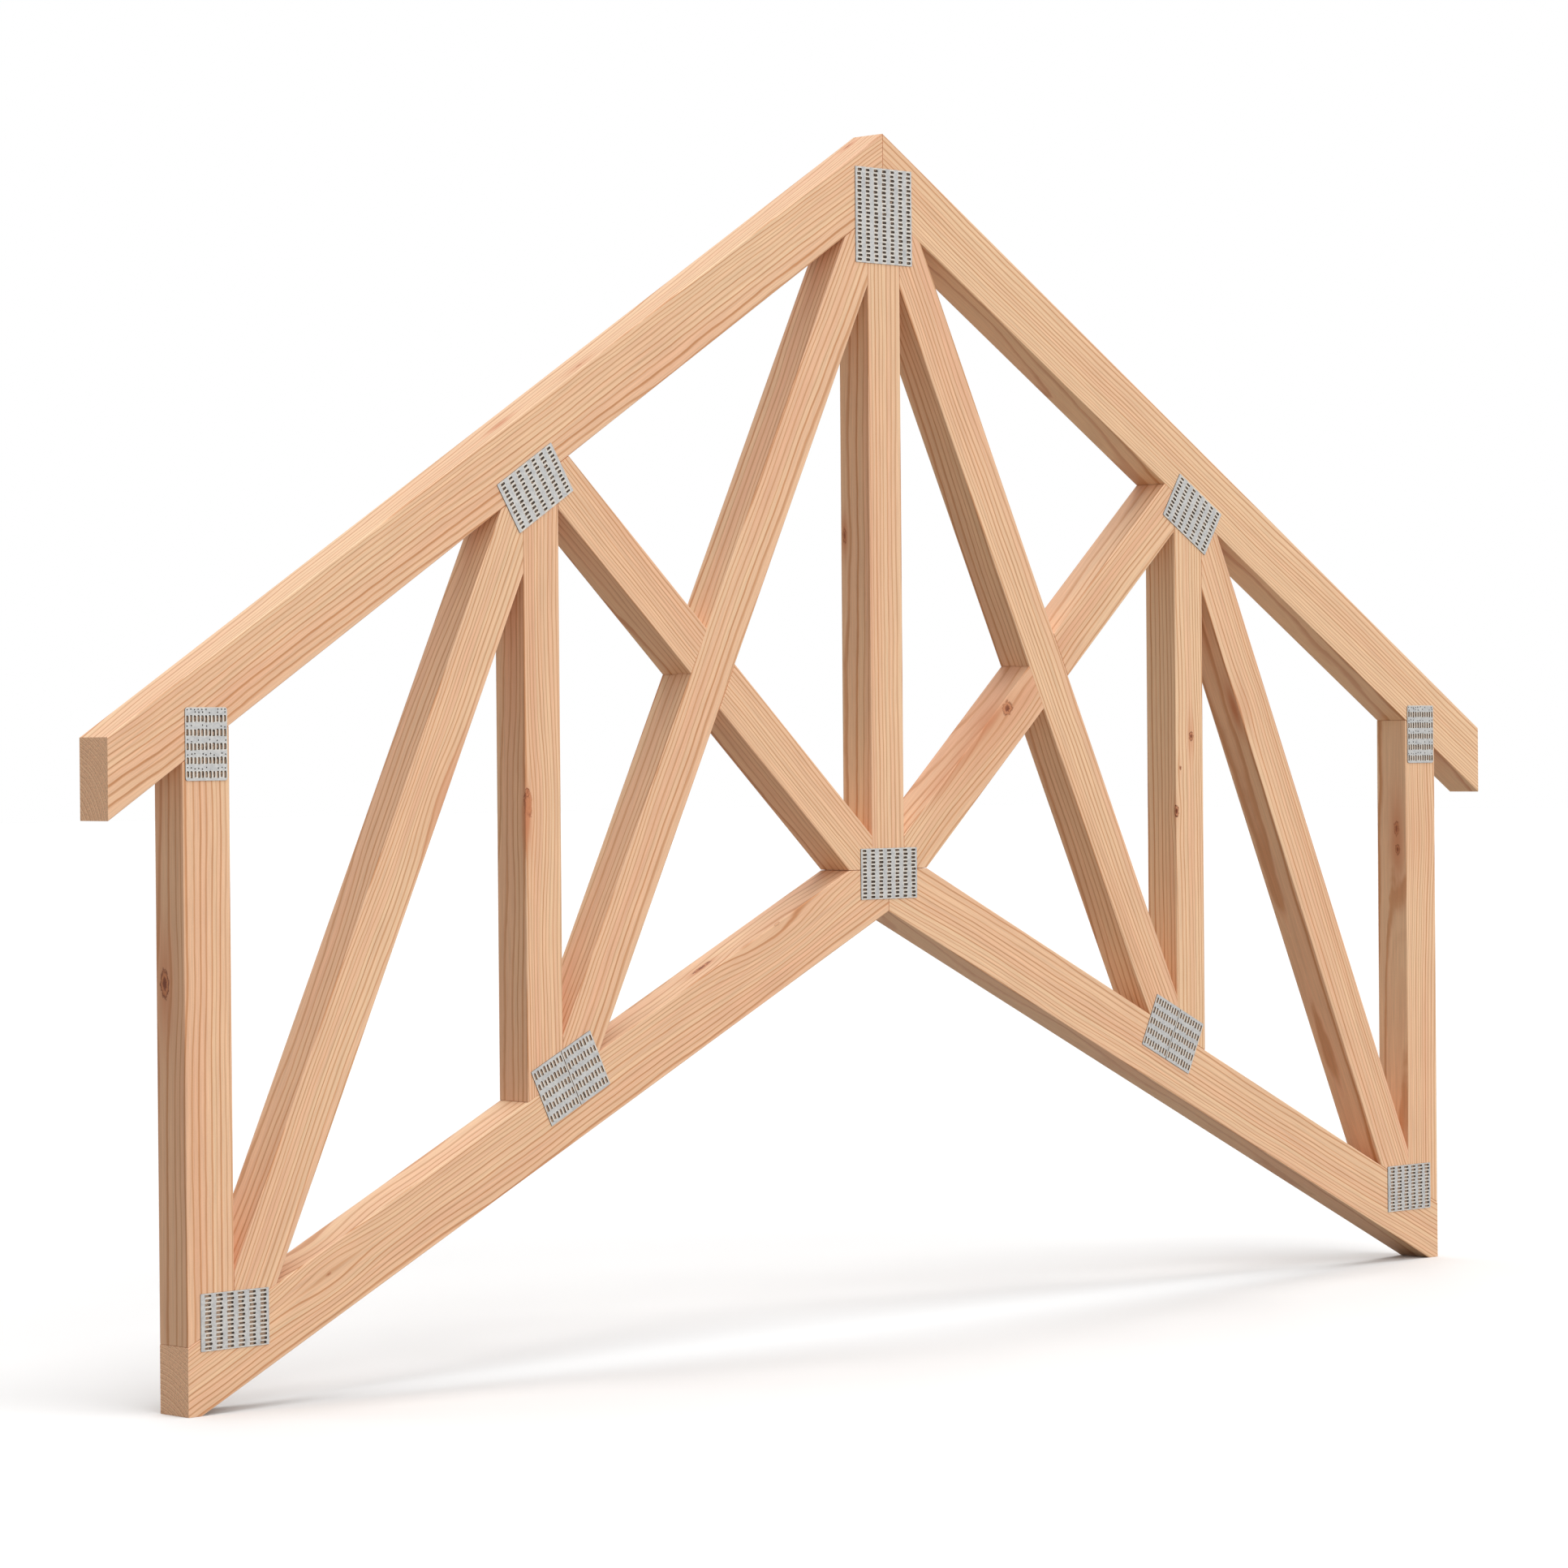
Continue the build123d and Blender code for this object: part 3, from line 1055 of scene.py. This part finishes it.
    def slot_points(self) -> Flow:
        """Place the middles of the slots, with every second row set back and a little unevenness.

        Returns:
            The points.
        """
        nodes, source = self.nodes, self.source
        reach = self.span("Rows", "Pitch across")
        grid = nodes.flow("GeometryNodeMeshGrid", {
            "Size X": self.span("Columns", "Pitch along"), "Size Y": reach,
            "Vertices X": source["Columns"], "Vertices Y": source["Rows"]})
        row = ((nodes.position()[1] + reach * 0.5) / source["Pitch across"]).math("ROUND")
        back = (row.math("MODULO", 2.0) - 0.5) * source["Stagger"] + source["Shift"]
        wobble = self.chance(Draw.SLOT_PLACE, (-0.4 * MILLIMETRE, -0.12 * MILLIMETRE, 0.0),
                             (0.4 * MILLIMETRE, 0.12 * MILLIMETRE, 0.0))
        return grid.moved(nodes.combine(back, 0.0, 0.0) + wobble)

    def speck_points(self, slots: Flow) -> Flow:
        """Place the small holes between the slots' rows, and the row of them past the last slots.

        Args:
            slots: The slots' middles.

        Returns:
            The points.
        """
        nodes, source = self.nodes, self.source
        last = self.span("Columns", "Pitch along") * 0.5 + (source["Shift"] - 2.0 * MILLIMETRE)
        outer = slots.without(nodes.position()[0].math("LESS_THAN", last))
        rows = []
        for points, step, low, high in ((slots, 0.47, -1.6, 1.1), (outer, 0.67, -0.5, 0.5)):
            drop = self.lot(Draw.SPECK, 1.0 - source["Speck share"], step)
            wobble = self.chance(Draw.SPECK_PLACE, (low * MILLIMETRE, -0.9 * MILLIMETRE, 0.0),
                                 (high * MILLIMETRE, 0.9 * MILLIMETRE, 0.0), step)
            away = nodes.combine(source["Pitch along"] * step, 0.0, 0.0)
            rows.append(points.without(drop).moved(away + wobble))
        return nodes.join(*rows)

    def tooth_root(self) -> Flow:
        """Make the curled root of a tooth, which rolls from the sheet down into the wood.

        Returns:
            The root in its place in a slot.
        """
        nodes, source = self.nodes, self.source
        roller = nodes.flow("GeometryNodeMeshCylinder", Vertices=14, Radius=1.0, Depth=1.0)
        size = nodes.combine(source["Root"], source["Thickness"] * 0.97, source["Slot width"] * 0.82)
        root = roller.placed(nodes.combine(source["Slot length"] * -0.5, 0.0, 0.0),
                             Rotation=(pi / 2, 0.0, 0.0), Scale=size)
        root = nodes.flow("GeometryNodeSetShadeSmooth", {"Shade Smooth": True}, Geometry=root)
        return root.finished(FINISHES.index("Sheet"))

    def pocket_floor(self) -> Flow:
        """Make the wood that shows in a slot, with painted shade along its sides and where the tooth went
        in.

        Returns:
            A thin closed slab in its place, a little larger than the slot.
        """
        nodes, source = self.nodes, self.source
        strip = nodes.flow("GeometryNodeMeshGrid",
                           {"Size X": 2.0, "Size Y": 2.0, "Vertices X": 7, "Vertices Y": 5})
        along, across, _ = nodes.position()
        aside = across.math("ABSOLUTE")
        # Painted shade along the slot's sides and at its ends; torn wood in between.
        dark = along.math("GREATER_THAN", source["Dark from"])
        dark = dark.math("MAXIMUM", along.math("LESS_THAN", source["Dark to"]))
        dark = dark.math("MAXIMUM", aside.math("GREATER_THAN", source["Rim"]))
        strip = strip.finished(dark + FINISHES.index("Torn wood"))
        border = along.math("ABSOLUTE").math("MAXIMUM", aside).math("GREATER_THAN", 0.99)
        upper = strip.moved(nodes.combine(0.0, 0.0, border * -self.floor_thickness))
        lower = strip.placed((0.0, 0.0, -self.floor_thickness), Scale=(1.0, -1.0, 1.0))
        size = nodes.combine(source["Slot length"] * 0.53, source["Slot width"] * 0.55, 1.0)
        return nodes.join(upper, lower).welded(self.weld).placed((0.0, 0.0, self.floor_lift), Scale=size)


@dataclass(frozen=True)
class NailPlates:
    """The punched nail plates on both faces of the truss.

    Args:
        thickness: Thickness of the sheet.
        sheet: The sheet's finish.
        torn: The wood in the pale end of a slot.
        pocket: Painted shade in the hole at one end of a slot where the tooth went in, along the slot's
            sides, and in the small holes between the slots.
        edge: The sheared edges of the sheet and its slots: dull bare steel, darkened further as painted
            shade of the plate's outline and the slots' walls.
    """

    thickness: float = 1.2 * MILLIMETRE
    sheet: GalvanisedSheet = GalvanisedSheet()
    torn: CrushedWood = CrushedWood("torn_wood", srgb(140, 114, 96), srgb(200, 172, 148))
    # Painted shade in the slots' holes and in the small holes.
    pocket: CrushedWood = CrushedWood("tooth_hole", srgb(56, 48, 42), srgb(92, 80, 70))
    # Dull bare steel, darker as painted shade of the plate's outline.
    edge: CrushedWood = CrushedWood("sheared_edge", srgb(74, 64, 56), srgb(104, 94, 86))

    def build(self) -> None:
        """Make and place every plate."""
        sizes = {kind: [PlateStock.label(item.name) for item in fields(PlateStock) if item.type is kind]
                 for kind in (float, int)}
        nodes = new_group("punched_sheet", "GeometryNodeTree",
                          {GEOMETRY: ("Geometry",), NUMBER: (*sizes[float], "Thickness"),
                           WHOLE: (*sizes[int], "Seed"), MATERIAL: FINISHES}, {GEOMETRY: ("Geometry",)})
        PunchedSheet(nodes, nodes.sources()).build()
        looks = (self.sheet, self.torn, self.pocket, self.edge)
        finishes = {label: look.material() for label, look in zip(FINISHES, looks)}
        seed = 1
        for prefix, (stock, slope) in PLATE_PLACES.items():
            mirrored = 180.0 - slope if slope > 45.0 else -slope
            for side, angle in (("left", mirrored), ("right", slope), ("", slope)):
                for face in ("front", "back"):
                    node = "_".join(part for part in (prefix, side, face) if part)
                    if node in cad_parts:
                        values = {stock.label(name): value for name, value in asdict(stock).items()}
                        values |= {"Thickness": self.thickness, "Seed": seed, **finishes}
                        self.plate(node, nodes.tree, values, angle, face == "front")
                        seed += 1

    @staticmethod
    def plate(node: str, tree: bpy.types.NodeTree, values: dict[str, object], slope: float,
              front: bool) -> None:
        """Make one plate from the tree and press it on its joint.

        Args:
            node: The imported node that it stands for.
            tree: The plate's tree.
            values: Its sizes, finishes and seed by the tree's input name.
            slope: How steeply its slots rise towards +X.
            front: Whether it is on the front face.
        """
        obj = new_object(f"{node}_punched", bpy.data.meshes.new(f"{node}_punched"))
        modifier = obj.modifiers.new("punched sheet", "NODES")
        modifier.node_group = tree
        for item in tree.interface.items_tree:
            if item.in_out == "INPUT" and item.name in values:
                modifier[item.identifier] = values[item.name]
        finished_mesh(obj)

        low, high = (Vector(corner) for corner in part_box(node))
        rise = radians(slope)
        along = Vector((cos(rise), 0.0, sin(rise)))
        outward = Vector((0.0, -1.0 if front else 1.0, 0.0))
        matrix = Matrix((along, outward.cross(along), outward)).transposed().to_4x4()
        matrix.translation = Vector(((low.x + high.x) / 2, high.y if front else low.y, (low.z + high.z) / 2))
        obj.data.transform(matrix)
        place_piece(obj, node)


TWIN_STOCK = PlateStock(0.084, 0.0592, 5, 9, 0.0165, 0.0064, slot_length=0.0104, slot_width=0.0038,
                        root=0.0008, dark_from=1.0, dark_to=-1.0, rim=0.4)
PLATE_PLACES: dict[str, tuple[PlateStock, float]] = {
    "peak_plate": (PlateStock(0.116, 0.139, 7, 22, 0.0168, 0.0062, slot_length=0.0086, slot_width=0.0039,
                              shift=0.0006), 0.0),
    "centre_plate": (PlateStock(0.116, 0.074, 7, 13, 0.0168, 0.0056, slot_length=0.0088), 0.0),
    "quarter_plate": (PlateStock(0.115, 0.076, 7, 12, 0.0162, 0.0061, slot_width=0.0034), -ROOF_PITCH),
    "eave_plate": (PlateStock(0.094, 0.067, 5, 11, 0.0178, 0.0060, slot_length=0.0094, slot_width=0.0038,
                              shift=-0.0034, corner=0.0032, stagger=0.0, root=0.0006, dark_from=0.7,
                              dark_to=-0.7, speck_share=0.66), 90.0),
    "heel_plate": (PlateStock(0.110, 0.074, 6, 13, 0.0178, 0.0056, slot_length=0.0112, slot_width=0.0034,
                              shift=0.0012, dark_from=0.3, dark_to=-1.0, rim=1.0), 0.0),
    "inner_twin_plate": (TWIN_STOCK, 90.0 - CEILING_PITCH),
    "outer_twin_plate": (TWIN_STOCK, 90.0 - CEILING_PITCH),
}


@dataclass(frozen=True)
class Lamp:
    """A wide distant light.

    Args:
        name: Its name.
        towards: The direction from the truss to the light.
        level: How bright a white face that looks at it shows.
        spread: The light's angular width.
    """

    name: str
    towards: Triple
    level: float
    spread: float

    def build(self) -> None:
        """Make the lamp."""
        data = bpy.data.lights.new(self.name, "SUN")
        data.energy = self.level * pi
        data.angle = radians(self.spread)
        lamp = new_object(self.name, data)
        lamp.rotation_euler = Vector(self.towards).to_track_quat("Z", "Y").to_euler()


@dataclass(frozen=True)
class Studio:
    """The plain white studio: floor, light and the camera at the photograph's viewing angle.

    Args:
        eye: The camera's place.
        yaw: Its turn from +Y towards +X.
        pitch: How far it looks down.
        roll: Its turn about its line of sight.
        focal_pixels: Its focal length in pixels of the photograph.
        frame_pixels: The photograph's width in pixels.
        sensor: The camera's sensor width in millimetres.
        sight: How far the camera sees.
        floor_half: Half the floor's width.
        floor_white: The floor's colour where it is seen.
        floor_bounce: The floor's colour for the light that it gives back.
        sky_level: How bright a white face shows by the sky alone.
        lamps: The lamps.
    """

    eye: Triple = (-5.0039, -4.9683, 0.8573)
    yaw: float = 44.141
    pitch: float = 0.506
    roll: float = -0.489
    focal_pixels: float = 5930.3
    frame_pixels: float = 1932.0
    sensor: float = 36.0
    sight: float = 200.0
    floor_half: float = 40.0
    floor_white: Colour = srgb(247, 247, 247)
    floor_bounce: Colour = srgb(148, 138, 126)
    sky_level: float = 0.36
    lamps: tuple[Lamp, ...] = (
        Lamp("overhead_front_softbox", (0.06, -0.25, 1.0), 0.31, 30.0),
        Lamp("overhead_back_softbox", (0.06, 0.25, 1.0), 0.31, 30.0),
        Lamp("front_softbox", (-0.02, -1.0, 0.35), 0.59, 70.0),
    )

    def build(self) -> None:
        """Make the floor, the light and the camera."""
        self.floor()
        self.sky()
        for lamp in self.lamps:
            lamp.build()
        self.camera()

    @staticmethod
    def seen(nodes: Nodes) -> Flow:
        """Tell the rays that show a thing to the camera from those that only light the truss.

        Args:
            nodes: The helper of a material's or a world's tree.

        Returns:
            1 for a ray that shows it, straight, by a gloss or through glass, and 0 for another one.
        """
        path = nodes.outputs(nodes.add("ShaderNodeLightPath"))
        mirrored = path["Is Glossy Ray"].math("MAXIMUM", path["Is Transmission Ray"])
        return path["Is Camera Ray"].math("MAXIMUM", mirrored)

    def floor(self) -> None:
        """Make a level floor that shows white to the camera and gives little light back."""
        mesh = bmesh.new()
        bmesh.ops.create_grid(mesh, x_segments=1, y_segments=1, size=self.floor_half)
        data = bpy.data.meshes.new("studio_floor")
        mesh.to_mesh(data)
        mesh.free()
        material, nodes = new_material("studio_floor")
        nodes.shade({"Base Color": nodes.mix(self.seen(nodes), self.floor_bounce, self.floor_white),
                     "Roughness": 1.0, "Specular IOR Level": 0.0})
        data.materials.append(material)
        floor = new_object("studio_floor", data)

    def sky(self) -> None:
        """Make an even world: soft light on the truss, and plain white behind it."""
        world = bpy.data.worlds.new("studio")
        world.use_nodes = True
        nodes = Nodes(world.node_tree)
        background = world.node_tree.nodes["Background"].inputs
        nodes.feed(background["Color"], (1.0, 1.0, 1.0, 1.0))
        nodes.feed(background["Strength"], self.seen(nodes) * (1.0 - self.sky_level) + self.sky_level)
        bpy.context.scene.world = world

    def camera(self) -> None:
        """Set up the camera at the photograph's viewing angle."""
        yaw, pitch, roll = radians(self.yaw), radians(self.pitch), radians(self.roll)
        forward = Vector((sin(yaw) * cos(pitch), cos(yaw) * cos(pitch), -sin(pitch)))
        level_right = Vector((cos(yaw), -sin(yaw), 0.0))
        level_up = level_right.cross(forward)
        right = level_right * cos(roll) + level_up * sin(roll)
        up = level_up * cos(roll) - level_right * sin(roll)
        data = bpy.data.cameras.new("photo_view")
        data.sensor_width = self.sensor
        data.lens = self.focal_pixels / self.frame_pixels * self.sensor
        data.clip_end = self.sight
        matrix = Matrix((right, up, -forward)).transposed().to_4x4()
        matrix.translation = Vector(self.eye)
        camera = new_object("photo_view", data)
        camera.matrix_world = matrix
        bpy.context.scene.camera = camera
        bpy.context.scene.view_settings.view_transform = "Standard"


TIMBER_GRAINS: dict[str, Grain] = {
    "top_chord_left": Grain((0.07, -0.08), (0.004, -0.010), 0.0058, 1.0, 0.45, (
        Knot((-0.723, -0.008, 1.291), 0.0022, 0.010, Branch.ACROSS, 0.6, 0.0, 0.0, 0.9, 4.0),
        Knot((-0.585, -0.016, 1.378), 0.0022, 0.012, Branch.ACROSS, 0.6, 0.3, 0.3, 0.6, 3.0),
        Knot((-0.026, 0.015, 1.727), 0.0015, 0.008, Branch.ACROSS, 0.5, 0.7, 0.5, 0.8, 6.0))),
    "top_chord_right": Grain((0.015, 0.11), (-0.006, 0.008), 0.0062, 2.0, 0.15),
    "bottom_chord_left": Grain((0.050, -0.09), (0.004, 0.012), 0.0064, 3.0, 0.55, (
        Knot((-1.050, -0.030, 0.165), 0.0016, 0.030, Branch.THROUGH, 0.85, 0.35, 0.2, 0.15, 3.0),
        Knot((-0.352, -0.003, 0.538), 0.0034, 0.012, Branch.ACROSS, 0.5, 1.0, 1.0, 0.9, 5.0),
        Knot((-0.228, -0.030, 0.597), 0.0022, 0.042, Branch.ROUND, 0.90, 0.0, 0.3, 0.2, 2.5),
        Knot((-0.288, -0.030, 0.577), 0.0016, 0.012, Branch.ROUND, 0.5, 0.0, 0.2, 0.7, 5.0)), 1.1),
    "bottom_chord_right": Grain((0.02, 0.11), (-0.006, 0.010), 0.0068, 4.0, 0.45),
    "end_post_left": Grain((0.05, 0.10), (0.006, -0.008), 0.0084, 5.0, 0.55, (
        Knot((-1.280, 0.012, 0.554), 0.0086, 0.028, Branch.ACROSS, 0.65, 0.9, 0.8, 0.7, 2.0),)),
    "end_post_right": Grain((-0.01, -0.11), (0.006, -0.010), 0.0068, 6.0, 0.25, (
        Knot((1.205, -0.010, 0.706), 0.0050, 0.030, Branch.ACROSS, 0.7, 1.0, 0.6, 0.6, 2.4),
        Knot((1.205, -0.012, 0.672), 0.0045, 0.020, Branch.ACROSS, 0.5, 0.7, 0.5, 0.6, 2.0))),
    "quarter_post_left": Grain((0.05, -0.11), (0.005, 0.006), 0.0058, 7.0, 0.50, (
        Knot((-0.6955, -0.031, 0.777), 0.0064, 0.040, Branch.ROUND, 0.62, 0.0, 1.0, 0.10, 2.8,
             (-0.3, 0.0, 0.95)),
        Knot((-0.6975, -0.031, 0.791), 0.0034, 0.010, Branch.ROUND, 0.3, 0.6, 1.0, 0.0, 1.8),
        Knot((-0.7005, -0.029, 0.772), 0.0018, 0.010, Branch.ROUND, 0.2, 1.0, 1.0, 0.0, 8.0),
        Knot((-0.699, -0.031, 0.752), 0.0010, 0.014, Branch.ROUND, 0.3, 0.0, 0.0, 0.9))),
    "quarter_post_right": Grain((0.085, 0.100), (0.006, 0.004), 0.0066, 8.0, 0.10, (
        Knot((0.673, -0.030, 0.860), 0.0044, 0.013, Branch.THROUGH, 0.6, 1.0, 0.8, 0.5, 1.5),
        Knot((0.647, -0.030, 0.811), 0.0024, 0.007, Branch.THROUGH, 0.6, 1.0, 0.6, 0.2, 1.3),
        Knot((0.638, -0.030, 0.744), 0.0040, 0.011, Branch.ROUND, 0.6, 1.0, 1.0, 0.3, 2.2)), 0.7),
    "king_post": Grain((0.06, -0.11), (0.004, 0.006), 0.0080, 9.0, 0.35, (
        Knot((-0.033, 0.022, 1.158), 0.0032, 0.012, Branch.ACROSS, 0.6, 0.6, 0.6, 0.9, 3.4),), 0.7),
    "outer_diagonal_left": Grain((0.055, -0.10), (0.006, 0.014), 0.0056, 10.0, 0.45, (
        Knot((-0.842, -0.030, 0.784), 0.0024, 0.030, Branch.THROUGH, 0.75, 0.3, 0.2, 0.5, 2.0),)),
    "outer_diagonal_right": Grain((0.01, -0.11), (0.004, -0.008), 0.0064, 11.0, 0.45, (
        Knot((0.788, -0.020, 0.903), 0.0020, 0.016, Branch.ACROSS, 0.6, 0.0, 0.0, 1.0, 4.0),)),
    "long_diagonal_left": Grain((0.075, -0.09), (0.006, 0.010), 0.0070, 12.0, 0.50),
    "long_diagonal_right": Grain((0.075, 0.09), (-0.006, 0.010), 0.0066, 13.0, 0.45),
    "short_diagonal_left": Grain((0.05, 0.11), (0.005, -0.008), 0.0056, 14.0, 0.55),
    "short_diagonal_right": Grain((0.040, -0.10), (0.008, 0.012), 0.0070, 15.0, 0.50, (
        Knot((0.2555, -0.030, 0.904), 0.0095, 0.044, Branch.THROUGH, 0.72, 1.0, 0.6, 0.3, 1.2),
        Knot((0.222, -0.030, 0.886), 0.0010, 0.016, Branch.THROUGH, 0.1, 0.0, 0.0, 0.8),
        Knot((0.172, -0.030, 0.840), 0.0010, 0.017, Branch.THROUGH, 0.1, 0.0, 0.0, 0.6),
        Knot((0.118, -0.030, 0.791), 0.0010, 0.018, Branch.THROUGH, 0.1, 0.0, 0.0, 0.5))),
}


def main() -> None:
    """Build the dressed truss and its studio."""
    logging.basicConfig(level=logging.INFO, format="%(name)s: %(message)s")
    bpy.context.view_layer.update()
    TimberFrame().build()
    NailPlates().build()
    Studio().build()


if __name__ == "__main__":
    main()
